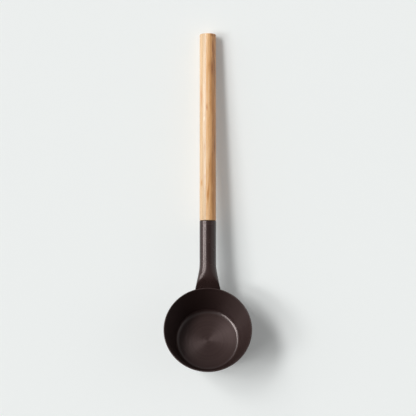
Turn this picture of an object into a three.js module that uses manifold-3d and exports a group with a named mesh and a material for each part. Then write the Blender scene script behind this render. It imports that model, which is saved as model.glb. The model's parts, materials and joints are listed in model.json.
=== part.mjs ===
// Sauna ladle: a spun metal bowl, a flared metal neck and a round handle of laminated bamboo.
// Millimetres, +Z up. The ladle lies as it rests on a table, on the handle side of its base and on
// the free end of its handle, which points along +Y. The origin is under the middle of its box.

import * as THREE from "three";
import { mergeVertices } from "three/addons/utils/BufferGeometryUtils.js";
import Module from "manifold-3d";

const wasm = await Module();
wasm.setup();

const degree = Math.PI / 180;

// Bowl: outside sizes, with the wall drawn on to a sharp corner at base and rim
const rimRadius = 52.4;
const baseRadius = 38.8;
const bowlHeight = 44;
const bowlWall = 1.5;
const bowlFloor = 2;
const baseFillet = 5.5;
const floorFillet = 4.8;

// Handle of bamboo strips, turned round, with a tenon at the neck end
const handleDiameter = 19.6;
const handleLength = 224;
const handleEndRounding = 1;
const stripThickness = 4.3;
const tenonLength = 40;
const tenonChamfer = 0.8;

// Neck: as thick as the handle, flared and rolled down to the rim where it meets the bowl
const neckLength = 80;
const neckRise = 18 * degree;
const neckWall = 3.2;
const neckAxisDrop = 1.3;
const scoopLength = 28;
const scoopDrop = 2.4;
const scoopShoulder = 3;
const flareWidth = 29.4;
const flareLength = 24;
const flareBlend = 6;
const flareSquareness = 2.4;
const socketSpare = 3;

// Countersunk screw that holds the tenon, on the underside of the neck
const screwSetback = 15;
const screwLength = 12;
const screwDiameter = 2.6;
const screwHeadDiameter = 5;
const screwHeadHeight = 1.4;
const screwTipLength = 2.5;
const screwSink = 0.5;
const recessLength = 2.8;
const recessWidth = 0.8;
const recessDepth = 0.9;

// Clearances and broken edges
const seamGap = 0.3;
const glueLine = 0.3;
const shoulderGap = 0.3;
const socketClearance = 0.3;
const screwClearance = 0.3;
const edgeBreak = 0.4;

// Faceting
const bowlSides = 80;
const arcSteps = 3;
const handleSides = 56;
const neckSides = 48;
const scoopRows = 18;
const screwSides = 24;

// Worked out from the sizes above
const handleRadius = handleDiameter / 2;
const tenonRadius = handleRadius - neckWall - socketClearance;
const wallLean = Math.atan2(rimRadius - baseRadius, bowlHeight);
const shoulderAt = neckLength + shoulderGap;
const handleEndAt = shoulderAt + handleLength;
const cutMargin = 10;

const stripNames = [
  "handle_strip_left_outer",
  "handle_strip_left_inner",
  "handle_strip_middle",
  "handle_strip_right_inner",
  "handle_strip_right_outer",
];

// Geometry and solids

function solidOf(geometry) {
  const bare = geometry.clone();
  bare.deleteAttribute("normal");
  bare.deleteAttribute("uv");
  const merged = mergeVertices(bare, 1e-4);
  const corners = merged.getIndex().array;
  const triangles = [];
  for (let i = 0; i < corners.length; i += 3) {
    const [a, b, c] = [corners[i], corners[i + 1], corners[i + 2]];
    if (a !== b && b !== c && c !== a) {
      triangles.push(a, b, c);
    }
  }
  const mesh = new wasm.Mesh({
    numProp: 3,
    vertProperties: new Float32Array(merged.getAttribute("position").array),
    triVerts: new Uint32Array(triangles),
  });
  return new wasm.Manifold(mesh);
}

function meshOf(name, solid, look) {
  const { numProp, vertProperties, triVerts } = solid.getMesh();
  const positions = [];
  for (let i = 0; i < vertProperties.length; i += numProp) {
    positions.push(vertProperties[i], vertProperties[i + 1], vertProperties[i + 2]);
  }
  const geometry = new THREE.BufferGeometry();
  geometry.setAttribute("position", new THREE.Float32BufferAttribute(positions, 3));
  geometry.setIndex(Array.from(triVerts));
  geometry.computeVertexNormals();
  const mesh = new THREE.Mesh(geometry, new THREE.MeshStandardMaterial(look));
  mesh.name = name;
  return mesh;
}

// Turns an outline of radius and height about +Y, with a flat side, not a corner, at front and back.
function turned(points, sides) {
  return new THREE.LatheGeometry(points, sides, Math.PI / sides);
}

function point(radius, height) {
  return new THREE.Vector2(radius, height);
}

// Bowl

function outerRadiusAt(height) {
  return baseRadius + height * Math.tan(wallLean);
}

// How far back from a corner of base and wall a fillet's tangent points lie
function filletReach(radius) {
  return radius / Math.tan((Math.PI / 2 + wallLean) / 2);
}

function bowlOutline() {
  const lipRadius = bowlWall / 2;
  const lipHeight = bowlHeight - lipRadius;
  const lipAxis = outerRadiusAt(lipHeight) - lipRadius / Math.cos(wallLean);
  const innerCorner = outerRadiusAt(bowlFloor) - bowlWall / Math.cos(wallLean);
  const baseArcAxis = baseRadius - filletReach(baseFillet);
  const floorArcAxis = innerCorner - filletReach(floorFillet);
  const down = -Math.PI / 2;
  const outline = new THREE.Path();
  outline.moveTo(0, 0);
  outline.lineTo(baseArcAxis, 0);
  outline.absarc(baseArcAxis, baseFillet, baseFillet, down, -wallLean, false);
  outline.absarc(lipAxis, lipHeight, lipRadius, -wallLean, Math.PI - wallLean, false);
  outline.absarc(floorArcAxis, bowlFloor + floorFillet, floorFillet, -wallLean, down, true);
  outline.lineTo(0, bowlFloor);
  return outline.getPoints(arcSteps);
}

function bowlSolid() {
  return solidOf(turned(bowlOutline(), bowlSides).rotateX(Math.PI / 2));
}

// The space that the bowl takes up, grown by the brazed seam, for trimming the neck
function bowlEnvelope() {
  const grown = seamGap / Math.cos(wallLean);
  const outline = [
    point(0, -cutMargin),
    point(outerRadiusAt(-cutMargin) + grown, -cutMargin),
    point(outerRadiusAt(bowlHeight + cutMargin) + grown, bowlHeight + cutMargin),
    point(0, bowlHeight + cutMargin),
  ];
  return solidOf(turned(outline, bowlSides).rotateX(Math.PI / 2));
}

// Arm: neck, handle and screw share a frame whose +Y runs along the handle from the bowl's wall

const armHeight = bowlHeight - neckAxisDrop;
const arm = new THREE.Group();
arm.position.set(0, outerRadiusAt(armHeight), armHeight);
arm.rotation.x = neckRise;
arm.updateMatrix();

// A ramp that starts softly, over the blend on each side of zero
function softRamp(distance, blend) {
  if (distance <= -blend) {
    return 0;
  }
  return distance >= blend ? distance : (distance + blend) ** 2 / (4 * blend);
}

function power(value, exponent) {
  return Math.sign(value) * Math.abs(value) ** exponent;
}

// Half width and squareness of the neck's section, and the height of the cut that rolls down across
// its top, at a distance from the bowl's wall
function neckSection(distance) {
  const flareSlope = (flareWidth / 2 - handleRadius) / flareLength;
  const wallTurn = Math.cos(neckRise) - Math.tan(wallLean) * Math.sin(neckRise);
  const cutAtWall = (neckAxisDrop - scoopDrop) * wallTurn;
  const cutAtStart = handleRadius + scoopShoulder;
  const nearness = Math.max(0, 1 - distance / scoopLength);
  const squared = THREE.MathUtils.smoothstep(nearness, 0, 1);
  return {
    halfWidth: handleRadius + flareSlope * softRamp(flareLength - distance, flareBlend),
    squareness: THREE.MathUtils.lerp(2, flareSquareness, squared),
    cutHeight: THREE.MathUtils.lerp(cutAtStart, cutAtWall, nearness ** 2),
  };
}

function neckStations() {
  const stations = [neckLength, neckLength - edgeBreak];
  const shapedLength = Math.max(scoopLength, flareLength + flareBlend);
  const flareEnd = -2 * bowlWall;
  for (let row = 0; row <= scoopRows; row += 1) {
    stations.push(THREE.MathUtils.lerp(shapedLength, flareEnd, row / scoopRows));
  }
  return stations;
}

function neckBody() {
  const stations = neckStations();
  const rows = stations.length - 1;
  const geometry = new THREE.CylinderGeometry(1, 1, 1, neckSides, rows);
  const corners = geometry.getAttribute("position");
  for (let i = 0; i < corners.count; i += 1) {
    const row = Math.round((0.5 - corners.getY(i)) * rows);
    const { halfWidth, squareness, cutHeight } = neckSection(stations[row]);
    const shrink = row === 0 ? 1 - edgeBreak / handleRadius : 1;
    const across = halfWidth * power(corners.getX(i), 2 / squareness) * shrink;
    const uncut = handleRadius * power(corners.getZ(i), 2 / squareness) * shrink;
    const upward = uncut - softRamp(uncut - cutHeight, scoopShoulder);
    corners.setXYZ(i, across, stations[row], upward);
  }
  return solidOf(geometry);
}

function socketSolid() {
  const depth = tenonLength + socketSpare;
  const radius = tenonRadius + socketClearance;
  const geometry = new THREE.CylinderGeometry(radius, radius, depth + cutMargin, handleSides);
  geometry.translate(0, neckLength + (cutMargin - depth) / 2, 0);
  return solidOf(geometry);
}

function neckSolid() {
  const envelope = bowlEnvelope().transform(arm.matrix.clone().invert().toArray());
  return neckBody().subtract(envelope).subtract(socketSolid()).subtract(screwHole());
}

// Screw: its outline runs from the head inwards, and stands upright in the underside of the neck

function placedScrew(points) {
  const geometry = turned(points, screwSides).rotateX(Math.PI / 2);
  geometry.translate(0, neckLength - screwSetback, screwSink - handleRadius);
  return solidOf(geometry);
}

function screwHole() {
  const headRadius = screwHeadDiameter / 2 + screwClearance;
  const shankRadius = screwDiameter / 2 + screwClearance;
  return placedScrew([
    point(0, -cutMargin),
    point(headRadius, -cutMargin),
    point(headRadius, 0),
    point(shankRadius, screwHeadHeight),
    point(shankRadius, screwLength + screwClearance),
    point(0, screwLength + screwClearance),
  ]);
}

function crossRecess() {
  const shape = [recessLength, recessWidth, 2 * recessDepth];
  const place = [0, neckLength - screwSetback, screwSink - handleRadius];
  const along = new THREE.BoxGeometry(shape[0], shape[1], shape[2]).translate(...place);
  const across = new THREE.BoxGeometry(shape[1], shape[0], shape[2]).translate(...place);
  return solidOf(along).add(solidOf(across));
}

function screwSolid() {
  const body = placedScrew([
    point(0, 0),
    point(screwHeadDiameter / 2, 0),
    point(screwDiameter / 2, screwHeadHeight),
    point(screwDiameter / 2, screwLength - screwTipLength),
    point(0, screwLength),
  ]);
  return body.subtract(crossRecess());
}

// Handle: one turned rod with its tenon, sliced lengthwise into the strips it was glued up from

function rodSolid() {
  const tenonEnd = shoulderAt - tenonLength;
  const outline = new THREE.Path();
  outline.moveTo(0, tenonEnd);
  outline.lineTo(tenonRadius - tenonChamfer, tenonEnd);
  outline.lineTo(tenonRadius, tenonEnd + tenonChamfer);
  outline.lineTo(tenonRadius, shoulderAt);
  outline.lineTo(handleRadius - edgeBreak, shoulderAt);
  outline.lineTo(handleRadius, shoulderAt + edgeBreak);
  const roundingAxis = handleRadius - handleEndRounding;
  const roundingHeight = handleEndAt - handleEndRounding;
  outline.absarc(roundingAxis, roundingHeight, handleEndRounding, 0, Math.PI / 2, false);
  outline.lineTo(0, handleEndAt);
  return solidOf(turned(outline.getPoints(arcSteps), handleSides));
}

function stripSlab(index) {
  const fromMiddle = index - (stripNames.length - 1) / 2;
  const isOuter = index === 0 || index === stripNames.length - 1;
  const nearSide = (Math.abs(fromMiddle) - 0.5) * stripThickness + glueLine / 2;
  const farSide = isOuter ? handleRadius + cutMargin : nearSide + stripThickness - glueLine;
  const height = handleDiameter + cutMargin;
  const length = tenonLength + handleLength + 2 * cutMargin;
  const slab = new THREE.BoxGeometry(farSide - nearSide, length, height);
  const side = Math.sign(fromMiddle);
  const lengthMiddle = shoulderAt + (handleLength - tenonLength) / 2;
  return slab.translate((side * (nearSide + farSide)) / 2, lengthMiddle, 0);
}

function stripSolid(index) {
  return rodSolid().intersect(solidOf(stripSlab(index))).subtract(screwHole());
}

// Assembly, in the bowl's own frame first

const brownMetal = { color: "#3b302e", roughness: 0.42, metalness: 0.7 };
const bareSteel = { color: "#b4b6b8", roughness: 0.3, metalness: 1 };
const bambooColors = ["#e6bf92", "#ddb183", "#d5a675", "#cf9f6c", "#d9ad7d"];

const bowl = meshOf("bowl", bowlSolid(), brownMetal);
arm.add(meshOf("neck", neckSolid(), brownMetal));
arm.add(meshOf("retaining_screw", screwSolid(), bareSteel));
const strips = stripNames.map((name, index) => {
  const look = { color: bambooColors[index], roughness: 0.6, metalness: 0 };
  return meshOf(name, stripSolid(index), look);
});
arm.add(...strips);

const ladle = new THREE.Group();
ladle.add(bowl, arm);
ladle.updateMatrixWorld(true);

// Rest: the ladle tips towards its handle until bowl and handle end are on the same level

function cornersOf(mesh) {
  const positions = mesh.geometry.getAttribute("position");
  const corners = [];
  for (let i = 0; i < positions.count; i += 1) {
    corners.push(new THREE.Vector3().fromBufferAttribute(positions, i).applyMatrix4(mesh.matrixWorld));
  }
  return corners;
}

function lowestAt(corners, tilt) {
  let lowest = Infinity;
  for (const corner of corners) {
    lowest = Math.min(lowest, corner.z * Math.cos(tilt) - corner.y * Math.sin(tilt));
  }
  return lowest;
}

function restTilt() {
  const bowlCorners = cornersOf(bowl);
  const handleCorners = strips.flatMap(cornersOf);
  let tooLittle = 0;
  let tooMuch = Math.PI / 3;
  for (let step = 0; step < 50; step += 1) {
    const tilt = (tooLittle + tooMuch) / 2;
    if (lowestAt(handleCorners, tilt) > lowestAt(bowlCorners, tilt)) {
      tooLittle = tilt;
    } else {
      tooMuch = tilt;
    }
  }
  return tooLittle;
}

ladle.rotation.x = -restTilt();
ladle.updateMatrixWorld(true);

const box = new THREE.Box3().setFromObject(ladle, true);
const middle = box.getCenter(new THREE.Vector3());
ladle.position.set(-middle.x, -middle.y, -box.min.z);

const saunaLadle = new THREE.Group();
saunaLadle.add(ladle);

export default saunaLadle;
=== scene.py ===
# Sauna ladle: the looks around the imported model, in metres, in the model's own frame.
# +Y runs along the handle to its free end, +Z is up, and the ladle lies on the floor at Z = 0.

import json
import math

import bmesh
import bpy
from mathutils import Matrix, Vector


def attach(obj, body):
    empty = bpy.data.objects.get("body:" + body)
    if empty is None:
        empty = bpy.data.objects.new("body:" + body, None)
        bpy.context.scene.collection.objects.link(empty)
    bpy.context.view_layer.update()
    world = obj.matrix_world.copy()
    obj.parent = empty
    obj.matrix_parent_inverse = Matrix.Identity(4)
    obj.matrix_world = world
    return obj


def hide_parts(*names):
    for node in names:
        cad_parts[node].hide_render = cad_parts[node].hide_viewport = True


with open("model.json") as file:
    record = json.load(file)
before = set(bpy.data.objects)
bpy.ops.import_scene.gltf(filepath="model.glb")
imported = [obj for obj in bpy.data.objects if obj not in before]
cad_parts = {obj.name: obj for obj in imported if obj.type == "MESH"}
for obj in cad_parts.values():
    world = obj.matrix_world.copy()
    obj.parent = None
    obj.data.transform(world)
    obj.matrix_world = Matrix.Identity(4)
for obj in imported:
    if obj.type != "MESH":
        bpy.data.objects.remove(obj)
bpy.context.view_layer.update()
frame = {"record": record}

mm = 0.001

# Bowl: outside sizes, with the wall drawn on to sharp corners, and a hair inside the faceted model
rim_radius = 52.31 * mm
base_radius = 38.71 * mm
bowl_height = 44 * mm
bowl_wall = 1.5 * mm
bowl_floor = 2 * mm
base_fillet = 5.5 * mm
floor_fillet = 4.8 * mm
lip_rounding = 0.49 * bowl_wall
lip_depth = 0.6 * bowl_wall
wall_lean = math.atan2(rim_radius - base_radius, bowl_height)

# Neck
neck_length = 80 * mm
neck_rise = math.radians(18)
neck_axis_drop = 1.3 * mm
scoop_length = 28 * mm
scoop_drop = 2.4 * mm
scoop_shoulder = 3 * mm
flare_width = 29.4 * mm
flare_length = 24 * mm
flare_blend = 6 * mm
flare_squareness = 2.4
socket_radius = 6.6 * mm
socket_depth = 43 * mm
edge_break = 0.4 * mm

# Foot of the neck: its gap to the bowl, how far up it is fitted to the bowl's wall,
# and the brazed fillet, as pairs of distance from the wall and thickness
seam = 0.02 * mm
wall_fit_length = 12 * mm
braze_steps = ((0.0, 0.9 * mm), (0.1 * mm, 0.5 * mm), (0.3 * mm, 0.22 * mm), (0.7 * mm, 0.05 * mm))
braze_end = 1.2 * mm

# Handle
handle_radius = 9.78 * mm
handle_length = 224 * mm
handle_end_rounding = 1 * mm
strip_thickness = 4.3 * mm
glue_line = 0.03 * mm
tenon_length = 40 * mm
tenon_radius = 6.3 * mm
shoulder_gap = 0.3 * mm
shoulder_at = neck_length + shoulder_gap
handle_end_at = shoulder_at + handle_length

# Screw
screw_setback = 15 * mm
screw_sink = 0.5 * mm
screw_length = 12 * mm
screw_tip = 2.5 * mm
screw_radius = 1.3 * mm
screw_head_radius = 2.5 * mm
screw_head_height = 1.4 * mm
screw_head_rounding = 0.15 * mm
recess_length = 2.8 * mm
recess_width = 0.8 * mm
recess_depth = 0.9 * mm
screw_room = 0.25 * mm
screw_turn = math.radians(20)
screw_place = Matrix.Translation((0, neck_length - screw_setback, screw_sink - handle_radius))
screw_seat = screw_place @ Matrix.Rotation(screw_turn, 4, "Z")

# Fineness of the meshes: steps round each shape, and distances at which points count as one
bowl_steps = 192
neck_steps = 96
neck_shaped_rows = 44
handle_steps = 128
screw_steps = 60
same_place = 1e-6
weld_reach = 1e-7
cut_reach = 1e-8
crease_angle = math.radians(35)

# Frames of the bowl and of the arm, from the base's mount in the record
base_mount = next(mount for mount in frame["record"]["mounts"] if mount["name"] == "bowl_base")
base_centre = Vector(base_mount["pos_m"])
bowl_tilt = math.atan2(-base_mount["axis"][1], -base_mount["axis"][2])
bowl_frame = Matrix.Translation(base_centre) @ Matrix.Rotation(-bowl_tilt, 4, "X")
arm_height = bowl_height - neck_axis_drop
arm_reach = base_radius + arm_height * math.tan(wall_lean)
arm_in_bowl = Matrix.Translation((0, arm_reach, arm_height)) @ Matrix.Rotation(neck_rise, 4, "X")
arm_frame = bowl_frame @ arm_in_bowl
upright_to_arm = Matrix.Rotation(-math.pi / 2, 4, "X")


# Material helpers


def node(tree, kind, inputs=None, **settings):
    """Adds a node; an input that is a socket is linked, and any other is set."""
    made = tree.nodes.new(kind)
    for name, value in settings.items():
        setattr(made, name, value)
    for name, value in (inputs or {}).items():
        if isinstance(value, bpy.types.NodeSocket):
            tree.links.new(value, made.inputs[name])
        else:
            made.inputs[name].default_value = value
    return made


def new_finish(name, **constants):
    """A material with its Principled shader; constants are set on the shader's own sockets."""
    material = bpy.data.materials.new(name)
    material.use_nodes = True
    shader = material.node_tree.nodes["Principled BSDF"]
    for socket, value in constants.items():
        shader.inputs[socket.replace("_", " ")].default_value = value
    return material, material.node_tree, shader


def feed(tree, shader, **varying):
    """Links what varies over the surface to the shader's sockets."""
    for socket, value in varying.items():
        tree.links.new(value, shader.inputs[socket.replace("_", " ")])


def math_node(tree, operation, first, second=0.0):
    return node(tree, "ShaderNodeMath", {0: first, 1: second}, operation=operation).outputs[0]


def vector_node(tree, operation, *vectors):
    """Vector arithmetic; a length or a dot product comes out as a number."""
    made = node(tree, "ShaderNodeVectorMath", dict(enumerate(vectors)), operation=operation)
    return made.outputs["Value" if operation in ("LENGTH", "DOT_PRODUCT") else "Vector"]


def ramp(tree, factor, low, high, start=0.0, end=1.0):
    """Maps a factor smoothly from one range to another."""
    inputs = {"Value": factor, "From Min": low, "From Max": high, "To Min": start, "To Max": end}
    return node(tree, "ShaderNodeMapRange", inputs, interpolation_type="SMOOTHSTEP").outputs["Result"]


def blend_colors(tree, factor, first, second):
    """Mixes two colours; a Mix node takes them at inputs 6 and 7 and gives a colour at output 2."""
    inputs = {0: factor, 6: first, 7: second}
    return node(tree, "ShaderNodeMix", inputs, data_type="RGBA").outputs[2]


def noise(tree, vector, scale, detail=3.0, roughness=0.55):
    inputs = {"Vector": vector, "Scale": scale, "Detail": detail, "Roughness": roughness}
    return node(tree, "ShaderNodeTexNoise", inputs).outputs["Fac"]


def relief(tree, height, strength, depth):
    """A surface normal that follows a fine height pattern."""
    inputs = {"Height": height, "Strength": strength, "Distance": depth}
    return node(tree, "ShaderNodeBump", inputs).outputs["Normal"]


def local_coordinates(tree, place, stretch=(1, 1, 1)):
    """Object coordinates turned into a local frame, and divided by a stretch along its axes."""
    inputs = {
        "Vector": node(tree, "ShaderNodeTexCoord").outputs["Object"],
        "Location": place.to_translation(),
        "Rotation": place.to_euler(),
        "Scale": stretch,
    }
    return node(tree, "ShaderNodeMapping", inputs, vector_type="TEXTURE").outputs["Vector"]


def srgb(red, green, blue):
    """A colour written as it looks on screen, from 0 to 255, in the shader's linear light."""
    channels = [value / 255 for value in (red, green, blue)]
    linear = [c / 12.92 if c <= 0.04045 else ((c + 0.055) / 1.055) ** 2.4 for c in channels]
    return (*linear, 1.0)


# Finishes

warm_sheen = (1.0, 0.78, 0.76, 1.0)
pale_sheen = (1.0, 0.87, 0.85, 1.0)
fibre_brown = srgb(176, 122, 74)
floor_glow = 0.17

# Bamboo's grain: how far its noise sways it, half of that on average, and how drawn out it is
sway_reach = 4 * mm
fibre_stretch = 30


def brown_coat(name, place, smoothest, roughest, shine=0.5):
    """Satin brown coat on spun or pressed metal, with a fine tooth and faint clouding."""
    constants = {"Metallic": 0.0, "Specular_IOR_Level": shine, "Specular_Tint": pale_sheen}
    material, tree, shader = new_finish(name, **constants)
    grain = local_coordinates(tree, place)
    cloud = noise(tree, grain, scale=60, detail=4)
    tooth = noise(tree, grain, scale=2600, detail=2)
    feed(
        tree,
        shader,
        Base_Color=blend_colors(tree, ramp(tree, cloud, 0.3, 0.7), srgb(46, 33, 31), srgb(52, 38, 36)),
        Roughness=ramp(tree, cloud, 0.25, 0.75, smoothest, roughest),
        Normal=relief(tree, tooth, strength=0.12, depth=0.05 * mm),
    )
    return material


def turned_coat(name, dark, light, smoothest, roughest, shine=0.5):
    """The coat over fine circles left by the lathe, as on the bowl's floor and inner wall."""
    constants = {
        "Metallic": 0.0,
        "Specular_IOR_Level": shine,
        "Specular_Tint": warm_sheen,
        "Anisotropic": 0.8,
        "Anisotropic_Rotation": 0.25,
    }
    material, tree, shader = new_finish(name, **constants)
    flat = vector_node(tree, "MULTIPLY", local_coordinates(tree, bowl_frame), (1, 1, 0))
    radius = vector_node(tree, "LENGTH", flat)
    ring_line = node(tree, "ShaderNodeCombineXYZ", {"X": radius}).outputs["Vector"]
    rings = noise(tree, ring_line, scale=1500, detail=4, roughness=0.7)
    bands = noise(tree, ring_line, scale=330, detail=1)
    depth = math_node(tree, "ADD", rings, math_node(tree, "MULTIPLY", bands, 0.7))
    around = node(tree, "ShaderNodeTangent", direction_type="UV_MAP", uv_map="around")
    feed(
        tree,
        shader,
        Base_Color=blend_colors(tree, ramp(tree, depth, 0.6, 1.1), dark, light),
        Roughness=ramp(tree, rings, 0.3, 0.7, smoothest, roughest),
        Normal=relief(tree, rings, strength=0.1, depth=0.03 * mm),
        Tangent=around.outputs["Tangent"],
    )
    return material


def bamboo(name, light, dark, marks, seed):
    """One strip of bamboo: wavy streaks, fine fibres and soft marks, some where the cane had its joints
    and some painted highlight and painted shade.
    """
    material, tree, shader = new_finish(name, Metallic=0.0, Specular_IOR_Level=0.5)
    place = local_coordinates(tree, arm_frame)
    drift = vector_node(tree, "MULTIPLY_ADD", place, (1, 0.4, 1), (seed, 0, 0))
    sway = node(tree, "ShaderNodeTexNoise", {"Vector": drift, "Scale": 70.0}).outputs["Color"]
    swayed = vector_node(tree, "MULTIPLY_ADD", sway, (sway_reach, 0, sway_reach), place)
    grain = vector_node(tree, "MULTIPLY_ADD", swayed, (1, 1 / fibre_stretch, 1), (seed, seed, seed))
    streaks = noise(tree, grain, scale=520, detail=3, roughness=0.5)
    fibres = noise(tree, grain, scale=2400, detail=3, roughness=0.7)
    color = blend_colors(tree, ramp(tree, streaks, 0.36, 0.64), light, dark)
    color = blend_colors(tree, ramp(tree, fibres, 0.5, 0.7, end=0.35), color, fibre_brown)
    fibrous = ramp(tree, fibres, 0.35, 0.6, start=0.5, end=1.2)
    for along, across, length, width, strength, tint in marks:
        centre = (across * mm + sway_reach / 2, shoulder_at + along * mm, 0)
        spread = (2 / (width * mm), 2 / (length * mm), 0)
        offset = [-c * s for c, s in zip(centre, spread)]
        distance = vector_node(tree, "LENGTH", vector_node(tree, "MULTIPLY_ADD", swayed, spread, offset))
        soft = ramp(tree, distance, 0.0, 1.0, start=strength, end=0.0)
        color = blend_colors(tree, math_node(tree, "MULTIPLY", soft, fibrous), color, tint)
    feed(
        tree,
        shader,
        Base_Color=color,
        Roughness=ramp(tree, fibres, 0.3, 0.7, start=0.26, end=0.33),
        Normal=relief(tree, fibres, strength=0.15, depth=0.05 * mm),
    )
    return material


def end_grain():
    """Cut end of the bamboo: dark dots of its fibres on pale pith."""
    material, tree, shader = new_finish("bamboo_end_grain", Metallic=0.0, Specular_IOR_Level=0.3)
    place = local_coordinates(tree, arm_frame, stretch=(1, 200, 1))
    cells = node(tree, "ShaderNodeTexVoronoi", {"Vector": place, "Scale": 1500.0}, feature="F1")
    away = cells.outputs["Distance"]
    pith = ramp(tree, away, 0.15, 0.4)
    feed(
        tree,
        shader,
        Base_Color=blend_colors(tree, pith, srgb(138, 94, 56), srgb(214, 170, 120)),
        Roughness=ramp(tree, away, 0.1, 0.6, start=0.5, end=0.7),
    )
    return material


def screw_steel():
    """Plain stainless steel with faint wear."""
    material, tree, shader = new_finish("screw_steel", Metallic=1.0)
    wear = noise(tree, local_coordinates(tree, arm_frame), scale=3200, detail=3)
    feed(
        tree,
        shader,
        Base_Color=blend_colors(tree, wear, srgb(168, 169, 171), srgb(205, 206, 208)),
        Roughness=ramp(tree, wear, 0.3, 0.7, start=0.3, end=0.38),
    )
    return material


def floor_paint():
    """Pale matt floor, a little lighter and self-lit where it is seen, as a white backdrop is."""
    constants = {"Roughness": 0.9, "Specular_IOR_Level": 0.0, "Emission_Color": srgb(236, 238, 237)}
    material, tree, shader = new_finish("floor_paint", **constants)
    place = node(tree, "ShaderNodeTexCoord").outputs["Object"]
    rays = node(tree, "ShaderNodeLightPath").outputs
    seen = math_node(tree, "MAXIMUM", rays["Is Camera Ray"], rays["Is Glossy Ray"])
    seen = math_node(tree, "MAXIMUM", seen, rays["Is Transmission Ray"])
    plain = blend_colors(tree, noise(tree, place, scale=30), srgb(225, 228, 227), srgb(227, 228, 227))
    feed(
        tree,
        shader,
        Base_Color=blend_colors(tree, seen, plain, srgb(228, 231, 230)),
        Emission_Strength=math_node(tree, "MULTIPLY", seen, floor_glow),
    )
    return material


# Mesh helpers


def spun(profile, steps):
    """Turns a profile of (radius, height) points about Z into a closed mesh."""
    bm = bmesh.new()
    verts = [bm.verts.new((radius, 0, height)) for radius, height in profile]
    edges = [bm.edges.new(pair) for pair in zip(verts, verts[1:])]
    bmesh.ops.spin(
        bm,
        geom=verts + edges,
        cent=(0, 0, 0),
        axis=(0, 0, 1),
        angle=math.tau,
        steps=steps,
        use_merge=True,
    )
    bmesh.ops.remove_doubles(bm, verts=bm.verts, dist=weld_reach)
    bmesh.ops.recalc_face_normals(bm, faces=bm.faces)
    return bm


def round_loop(bm, radius, height, offset, segments):
    """Bevels the circular edge at a radius and height of a spun mesh."""

    def on_loop(vert):
        near_radius = abs(math.hypot(vert.co.x, vert.co.y) - radius) < same_place
        return near_radius and abs(vert.co.z - height) < same_place

    loop = [edge for edge in bm.edges if all(on_loop(vert) for vert in edge.verts)]
    bmesh.ops.bevel(
        bm,
        geom=loop,
        offset=offset,
        offset_type="OFFSET",
        segments=segments,
        profile=0.5,
        affect="EDGES",
        material=-1,
    )


def close_holes(bm):
    bmesh.ops.holes_fill(bm, edges=[edge for edge in bm.edges if edge.is_boundary])


def finish_piece(bm, name, place, materials, cad_node):
    """Puts a mesh in its place and makes it the piece that stands for a node of the model."""
    bmesh.ops.transform(bm, matrix=place, verts=bm.verts)
    mesh = bpy.data.meshes.new(name)
    bm.to_mesh(mesh)
    bm.free()
    for material in materials:
        mesh.materials.append(material)
    mesh.shade_smooth()
    mesh.set_sharp_from_angle(angle=crease_angle)
    piece = bpy.data.objects.new(name, mesh)
    bpy.context.collection.objects.link(piece)
    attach(piece, "root")
    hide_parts(cad_node)
    return piece


def cut_away(piece, cutter):
    """Takes a cutter's shape out of a piece that is already in its place."""
    mesh = bpy.data.meshes.new("cutter")
    cutter.to_mesh(mesh)
    cutter.free()
    tool = bpy.data.objects.new("cutter", mesh)
    bpy.context.collection.objects.link(tool)
    cut = piece.modifiers.new("cut", "BOOLEAN")
    cut.object = tool
    cut.operation = "DIFFERENCE"
    cut.use_self = True
    shaped = piece.evaluated_get(bpy.context.evaluated_depsgraph_get())
    done = bpy.data.meshes.new_from_object(shaped)
    piece.modifiers.clear()
    piece.data = done
    done.set_sharp_from_angle(angle=crease_angle)
    bpy.data.objects.remove(tool)


# Bowl


def fillet_reach(radius):
    """How far from the corner of floor and wall a fillet of this radius starts."""
    return radius / math.tan((math.pi / 2 + wall_lean) / 2)


def wrap_around(bm):
    """Lays a map round the bowl's axis, so that the lathe's marks run along it."""
    layer = bm.loops.layers.uv.new("around")
    for face in bm.faces:
        middle = face.calc_center_median()
        facing = math.atan2(middle.y, middle.x)
        for loop in face.loops:
            spot = loop.vert.co
            reach = math.hypot(spot.x, spot.y)
            turn = math.atan2(spot.y, spot.x) - facing if reach > weld_reach else 0.0
            turn = (turn + math.pi) % math.tau - math.pi
            loop[layer].uv = ((facing + turn) / math.tau, (reach + spot.z) / rim_radius)


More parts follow.
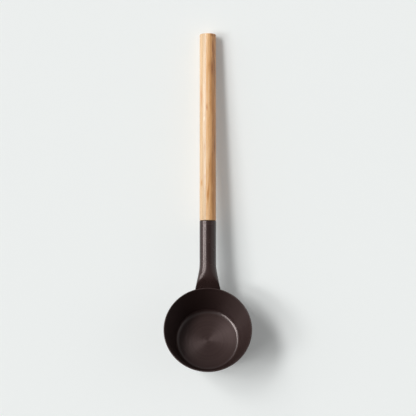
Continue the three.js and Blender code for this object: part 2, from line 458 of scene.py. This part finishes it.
def make_bowl():
    """Spins the bowl, rounds its corners and coats its outside, floor, wall, fillet and lip."""
    inward = bowl_wall / math.cos(wall_lean)
    floor_corner = base_radius + bowl_floor * math.tan(wall_lean) - inward
    profile = [
        (0, 0),
        (base_radius, 0),
        (rim_radius, bowl_height),
        (rim_radius - inward, bowl_height),
        (floor_corner, bowl_floor),
        (0, bowl_floor),
    ]
    bm = spun(profile, bowl_steps)
    round_loop(bm, base_radius, 0, fillet_reach(base_fillet), segments=8)
    round_loop(bm, floor_corner, bowl_floor, fillet_reach(floor_fillet), segments=8)
    half_corner_slope = math.tan((math.pi / 2 - wall_lean) / 2)
    round_loop(bm, rim_radius, bowl_height, lip_rounding / half_corner_slope, segments=6)
    round_loop(bm, rim_radius - inward, bowl_height, lip_rounding * half_corner_slope, segments=4)
    coats = [
        brown_coat("bowl_coat", bowl_frame, smoothest=0.24, roughest=0.29),
        # The floor's tones are lighter than the coat's own brown: painted light on the bowl's floor
        turned_coat(
            "turned_floor_painted_light",
            srgb(56, 43, 41),
            srgb(66, 52, 50),
            smoothest=0.38,
            roughest=0.46,
        ),
        # The wall's tones are darker than the coat's own brown: painted shade on the bowl's inner wall
        turned_coat(
            "spun_wall_painted_shade",
            srgb(40, 28, 26),
            srgb(46, 33, 31),
            smoothest=0.42,
            roughest=0.5,
            shine=0.36,
        ),
        brown_coat("fillet_coat", bowl_frame, smoothest=0.27, roughest=0.32, shine=0.9),
        brown_coat("lip_coat", bowl_frame, smoothest=0.42, roughest=0.48, shine=0.4),
    ]
    on_floor, on_wall, on_fillet, on_lip = range(1, len(coats))
    flat_radius = floor_corner - fillet_reach(floor_fillet)
    # The straight inner wall faces the axis by the cosine of its lean, less a little for rounding
    wall_facing = -0.99 * math.cos(wall_lean)
    for face in bm.faces:
        middle = face.calc_center_median()
        reach = math.hypot(middle.x, middle.y)
        facing_out = (face.normal.x * middle.x + face.normal.y * middle.y) / reach
        if abs(middle.z - bowl_floor) < same_place and reach < flat_radius:
            face.material_index = on_floor
        elif facing_out < wall_facing and middle.z < bowl_height - bowl_wall:
            face.material_index = on_wall
        elif middle.z > bowl_height - lip_depth:
            face.material_index = on_lip
        elif facing_out < 0 and middle.z > bowl_floor:
            face.material_index = on_fillet
    wrap_around(bm)
    return finish_piece(bm, "spun_bowl", bowl_frame, coats, "bowl")


# Neck

# Rings that close the neck's cap, as shares of its section, and how often a point is fitted again
cap_shares = (0.05, 0.3, 0.6, 0.85)
fit_rounds = 6


def soft_ramp(distance, blend):
    """Nothing below zero and the distance above it, with a soft bend between."""
    if distance <= -blend:
        return 0.0
    return distance if distance >= blend else (distance + blend) ** 2 / (4 * blend)


def smoothstep(value):
    value = min(max(value, 0.0), 1.0)
    return value * value * (3 - 2 * value)


def power(value, exponent):
    """A power that keeps the sign, for the outline of a squared oval."""
    return math.copysign(abs(value) ** exponent, value)


def neck_section(distance):
    """Half width and squareness of the neck, and the height of the cut that rolls down across it.

    A squareness of 2 is a plain oval.
    """
    flare_slope = (flare_width / 2 - handle_radius) / flare_length
    half_width = handle_radius + flare_slope * soft_ramp(flare_length - distance, flare_blend)
    nearness = max(0.0, 1 - distance / scoop_length)
    squareness = 2 + (flare_squareness - 2) * smoothstep(nearness)
    wall_turn = math.cos(neck_rise) - math.tan(wall_lean) * math.sin(neck_rise)
    cut_at_wall = (neck_axis_drop - scoop_drop) * wall_turn
    cut_at_start = handle_radius + scoop_shoulder
    return half_width, squareness, cut_at_start + (cut_at_wall - cut_at_start) * nearness**2


def wall_slide(across, upward):
    """Where a line along the arm, at a place in its section, meets the bowl's outer wall."""
    cosine, sine, spread = math.cos(neck_rise), math.sin(neck_rise), math.tan(wall_lean)
    reach = arm_reach - upward * sine
    radius = base_radius + seam + spread * (arm_height + upward * cosine)
    # The slide solves a * slide**2 + 2 * b * slide + c = 0
    a = cosine**2 - (spread * sine) ** 2
    b = reach * cosine - spread * sine * radius
    c = across**2 + reach**2 - radius**2
    return (-b + math.sqrt(b * b - a * c)) / a


def neck_point(unit, distance, scale, braze):
    """Moves a point of a unit circle to its place on the neck, fitted to the bowl's wall near it."""
    along = distance
    near_wall = 1 - smoothstep(distance / wall_fit_length)
    for _ in range(fit_rounds):
        half_width, squareness, cut_height = neck_section(along)
        across = scale * half_width * power(unit.x, 2 / squareness) + braze * unit.x
        uncut = handle_radius * power(unit.z, 2 / squareness)
        top = min(handle_radius, cut_height)
        middle = (top - handle_radius) / 2
        cut = uncut - soft_ramp(uncut - cut_height, scoop_shoulder)
        upward = middle + scale * (cut - middle) + braze * unit.z
        along = distance + wall_slide(across, upward) * near_wall
    return Vector((across, along, upward))


def neck_rows():
    """Rows of the neck's skin from its cap on the bowl to the bottom of its socket.

    Each row is a distance along the arm, a share of the section and a thickness of braze.
    """
    shaped_length = max(scoop_length, flare_length + flare_blend)
    socket_end = neck_length - socket_depth
    brim = 1 - edge_break / handle_radius
    bore = socket_radius / handle_radius
    rows = [(0.0, share, 0.0) for share in cap_shares]
    rows += [(distance, 1.0, thickness) for distance, thickness in braze_steps]
    for step in range(neck_shaped_rows + 1):
        rows.append((braze_end + shaped_length * step / neck_shaped_rows, 1.0, 0.0))
    rows += [(neck_length - edge_break, 1.0, 0.0), (neck_length, brim, 0.0), (neck_length, bore, 0.0)]
    rows += [(socket_end, bore, 0.0), (socket_end, cap_shares[0], 0.0)]
    return rows


def make_neck():
    """Extrudes a circle row by row, one unit apart, and then moves each point to its place."""
    rows = neck_rows()
    bm = bmesh.new()
    bmesh.ops.create_circle(bm, cap_ends=True, segments=neck_steps, radius=1.0)
    bmesh.ops.rotate(bm, cent=(0, 0, 0), matrix=Matrix.Rotation(math.pi / 2, 3, "X"), verts=bm.verts)
    for _ in rows[1:]:
        last = max(vert.co.y for vert in bm.verts)
        edges = [edge for edge in bm.edges if all(vert.co.y > last - 0.5 for vert in edge.verts)]
        grown = bmesh.ops.extrude_edge_only(bm, edges=edges)
        fresh = [item for item in grown["geom"] if isinstance(item, bmesh.types.BMVert)]
        bmesh.ops.translate(bm, vec=(0, 1, 0), verts=fresh)
    close_holes(bm)
    for vert in bm.verts:
        vert.co = neck_point(vert.co.copy(), *rows[round(vert.co.y)])
    bmesh.ops.recalc_face_normals(bm, faces=bm.faces)
    coat = [brown_coat("neck_coat", arm_frame, smoothest=0.25, roughest=0.29)]
    return finish_piece(bm, "flared_neck", arm_frame, coat, "neck")


# Handle

amber = srgb(190, 122, 54)
# Chestnut is both real dark patches in the bamboo and painted shade on the handle's shaded side
chestnut_and_painted_shade = srgb(146, 78, 36)
russet = srgb(188, 118, 74)
# Pale is painted highlight, put on the wood where light glints along the handle
pale = srgb(242, 222, 200)

# Light and dark tone of each strip, from left to right, and its marks:
# place along and across the handle, length and width in millimetres, strength, tint.
# The tones are partly the bamboo's own and partly painted light and shade: the left strips are a
# whiter beige where the handle's highlight falls, and the right strips a deeper orange on its
# shaded side.
strip_tones = {
    "left_outer": (srgb(220, 187, 148), srgb(210, 173, 130), [
        (44.5, -7, 12, 4, 0.7, amber),
        (148, -7.2, 34, 3, 0.6, russet),
    ]),
    "left_inner": (srgb(215, 187, 152), srgb(205, 173, 136), [
        (52, -3.8, 10, 3, 0.5, russet),
        (86, -4, 16, 2.5, 0.3, russet),
        # Painted highlight: a glint, and a longer band along the handle's lit line
        (121.5, -4.4, 8, 2.4, 0.6, pale),
        (55, -4, 75, 4, 0.35, pale),
    ]),
    "middle": (srgb(239, 197, 150), srgb(227, 176, 121), [
        (135, -1.2, 13, 4.4, 0.8, russet),
        (16, -2, 14, 3, 0.5, russet),
        (30, -0.3, 22, 4.4, 0.7, amber),
        (36, 0.8, 48, 3, 0.7, amber),
        (62, 1.6, 40, 3.4, 0.6, amber),
        (183, 1.8, 24, 3.4, 0.6, amber),
    ]),
    "right_inner": (srgb(236, 180, 122), srgb(216, 156, 98), [
        # Painted shade along the whole shaded side of the handle
        (112, 6, 300, 4.4, 0.4, chestnut_and_painted_shade),
        (183, 4.8, 38, 6.4, 0.7, chestnut_and_painted_shade),
        (206, 5.6, 36, 4.4, 0.8, chestnut_and_painted_shade),
        # Painted shade on the shaded corner of the rounded free end
        (222, 5, 6, 6, 0.6, chestnut_and_painted_shade),
    ]),
    "right_outer": (srgb(248, 180, 116), srgb(226, 158, 96), [
        (90, 8.2, 34, 3, 0.5, chestnut_and_painted_shade),
        (190, 7.4, 100, 4, 0.5, chestnut_and_painted_shade),
        # Painted shade on the shaded corner of the rounded free end
        (222, 8, 6, 4, 0.6, chestnut_and_painted_shade),
    ]),
}
middle_index = len(strip_tones) // 2

# How far the grain's noise moves on from strip to strip, and how squarely a cut end faces
seed_step = 1.7
end_facing = 0.9


def make_strip(index, side, cut_end):
    """Turns the whole handle with its tenon, and keeps one strip of it between two glue lines."""
    light, dark, marks = strip_tones[side]
    tenon_end = shoulder_at - tenon_length
    profile = [
        (0, tenon_end),
        (tenon_radius, tenon_end),
        (tenon_radius, shoulder_at),
        (handle_radius, shoulder_at),
        (handle_radius, handle_end_at),
        (0, handle_end_at),
    ]
    bm = spun(profile, handle_steps)
    round_loop(bm, handle_radius, handle_end_at, handle_end_rounding, segments=6)
    round_loop(bm, handle_radius, shoulder_at, edge_break, segments=2)
    middle = (index - middle_index) * strip_thickness
    half = (strip_thickness - glue_line) / 2
    for face_side in (-1, 1):
        at = middle + face_side * half
        if abs(at) > middle_index * strip_thickness:
            continue
        bmesh.ops.bisect_plane(
            bm,
            geom=bm.verts[:] + bm.edges[:] + bm.faces[:],
            dist=cut_reach,
            plane_co=(at, 0, 0),
            plane_no=(face_side, 0, 0),
            clear_outer=True,
        )
        close_holes(bm)
    wood = bamboo(f"bamboo_{side}", light, dark, marks, seed=seed_step * index)
    finishes = [wood, cut_end]
    for face in bm.faces:
        if face.normal.z > end_facing:
            face.material_index = finishes.index(cut_end)
    bmesh.ops.recalc_face_normals(bm, faces=bm.faces)
    place = arm_frame @ upright_to_arm
    name = f"bamboo_strip_{side}"
    return finish_piece(bm, name, place, finishes, f"handle_strip_{side}")


# Screw


def cut_screw_hole(piece):
    """Drills the hole of the countersunk screw, with a little room round it."""
    head = screw_head_radius + screw_room
    shank = screw_radius + screw_room
    hole = [
        (0, -2 * screw_sink),
        (head, -2 * screw_sink),
        (head, 0),
        (shank, screw_head_height),
        (shank, screw_length + screw_room),
        (0, screw_length + screw_room),
    ]
    drill = spun(hole, screw_steps)
    bmesh.ops.transform(drill, matrix=arm_frame @ screw_seat, verts=drill.verts)
    cut_away(piece, drill)


def make_screw():
    """Turns the countersunk screw and cuts the cross recess into its head."""
    profile = [
        (0, 0),
        (screw_head_radius, 0),
        (screw_radius, screw_head_height),
        (screw_radius, screw_length - screw_tip),
        (0, screw_length),
    ]
    bm = spun(profile, screw_steps)
    round_loop(bm, screw_head_radius, 0, screw_head_rounding, segments=3)
    seat = arm_frame @ screw_seat
    screw = finish_piece(bm, "cross_screw", seat, [screw_steel()], "retaining_screw")
    cross = bmesh.new()
    core = Matrix.Diagonal((recess_width, recess_width, 2 * recess_depth, 1))
    bmesh.ops.create_cube(cross, size=1.0, matrix=core)
    cross.normal_update()
    sides = [face for face in cross.faces if round(face.normal.z) == 0]
    arm_length = (recess_length - recess_width) / 2
    for arm in bmesh.ops.extrude_discrete_faces(cross, faces=sides)["faces"]:
        bmesh.ops.translate(cross, vec=arm.normal * arm_length, verts=arm.verts)
    bmesh.ops.transform(cross, matrix=seat, verts=cross.verts)
    cut_away(screw, cross)
    return screw


# Stage: floor, light and camera

floor_reach = 40.0
sun_spread = math.radians(14)

# Windows to the left: how far each lies leftward and upward in the picture for one step of height,
# and its share of the light. The ladle's stand as they show in the metal, and the floor's are
# broader, for its shadows.
ladle_windows = (
    (0.72, -0.3, 0.09),
    (0.72, -0.05, 0.08),
    (0.72, 0.2, 0.14),
    (0.72, 0.5, 0.16),
    (0.72, 0.9, 0.1),
    (1.4, 0.2, 0.07),
    (2.0, 0.2, 0.08),
)
floor_windows = (
    (0.4, -0.05, 0.028),
    (0.7, -0.25, 0.094),
    (0.7, 0.2, 0.206),
    (0.7, 0.5, 0.15),
    (1.0, 0.9, 0.037),
    (1.1, -0.15, 0.15),
)

# Walls left, right and behind, and the ceiling: where each lies, how strongly it glows and how
# narrowly
room_walls = (
    ((-0.94, 0.1, 0.34), 1.03, 8.0),
    ((0.94, 0.1, 0.34), 0.85, 8.0),
    ((0, 0.94, 0.34), 0.27, 2.0),
    ((0, 0, 1), 0.16, 8.0),
)

# Camera: its sensor and lens in millimetres, as Blender takes them, and its place
sensor_width = 36
focal_length = 150
camera_place = (0.2 * mm, -7.14 * mm, 2091 * mm)


def make_floor():
    """A wide floor that belongs to the stage, not to the ladle."""
    bm = bmesh.new()
    bmesh.ops.create_grid(bm, x_segments=1, y_segments=1, size=floor_reach)
    mesh = bpy.data.meshes.new("floor")
    bm.to_mesh(mesh)
    bm.free()
    mesh.materials.append(floor_paint())
    floor = bpy.data.objects.new("floor", mesh)
    bpy.context.collection.objects.link(floor)
    return floor


def add_windows(name, windows, members):
    """Soft suns that light these objects alone; a share is of a level surface's light."""
    group = bpy.data.collections.new(f"{name}_light")
    for member in members:
        group.objects.link(member)
    for number, (leftward, upward, share) in enumerate(windows):
        travel = Vector((leftward, -upward, -1)).normalized()
        lamp = bpy.data.lights.new(f"{name}_window_{number}", "SUN")
        lamp.angle = sun_spread
        lamp.energy = share * math.pi / -travel.z
        sun = bpy.data.objects.new(lamp.name, lamp)
        sun.rotation_euler = travel.to_track_quat("-Z", "Y").to_euler()
        sun.light_linking.receiver_collection = group
        bpy.context.collection.objects.link(sun)


def make_room():
    """Dim walls round the stage: each glows most straight on and fades out a quarter turn away."""
    world = bpy.data.worlds.new("studio")
    world.use_nodes = True
    tree = world.node_tree
    direction = node(tree, "ShaderNodeTexCoord").outputs["Generated"]
    glow = 0.0
    for facing, strength, sharpness in room_walls:
        toward = vector_node(tree, "DOT_PRODUCT", direction, Vector(facing).normalized())
        lobe = math_node(tree, "POWER", math_node(tree, "MAXIMUM", toward), sharpness)
        glow = math_node(tree, "ADD", glow, math_node(tree, "MULTIPLY", lobe, strength))
    background = tree.nodes["Background"]
    background.inputs["Color"].default_value = (1, 1, 1, 1)
    tree.links.new(glow, background.inputs["Strength"])
    bpy.context.scene.world = world


def make_camera():
    """Straight above the ladle, as far off as the photograph's perspective asks."""
    lens = bpy.data.cameras.new("camera")
    lens.sensor_width = sensor_width
    lens.lens = focal_length
    camera = bpy.data.objects.new("camera", lens)
    camera.location = camera_place
    bpy.context.collection.objects.link(camera)
    bpy.context.scene.camera = camera


bowl = make_bowl()
neck = make_neck()
cut_end_finish = end_grain()
strips = {side: make_strip(index, side, cut_end_finish) for index, side in enumerate(strip_tones)}
screw = make_screw()
cut_screw_hole(neck)
cut_screw_hole(strips["middle"])
floor = make_floor()
add_windows("ladle", ladle_windows, [bowl, neck, screw, *strips.values()])
add_windows("floor", floor_windows, [floor])
make_room()
make_camera()
bpy.context.scene.view_settings.view_transform = "Standard"
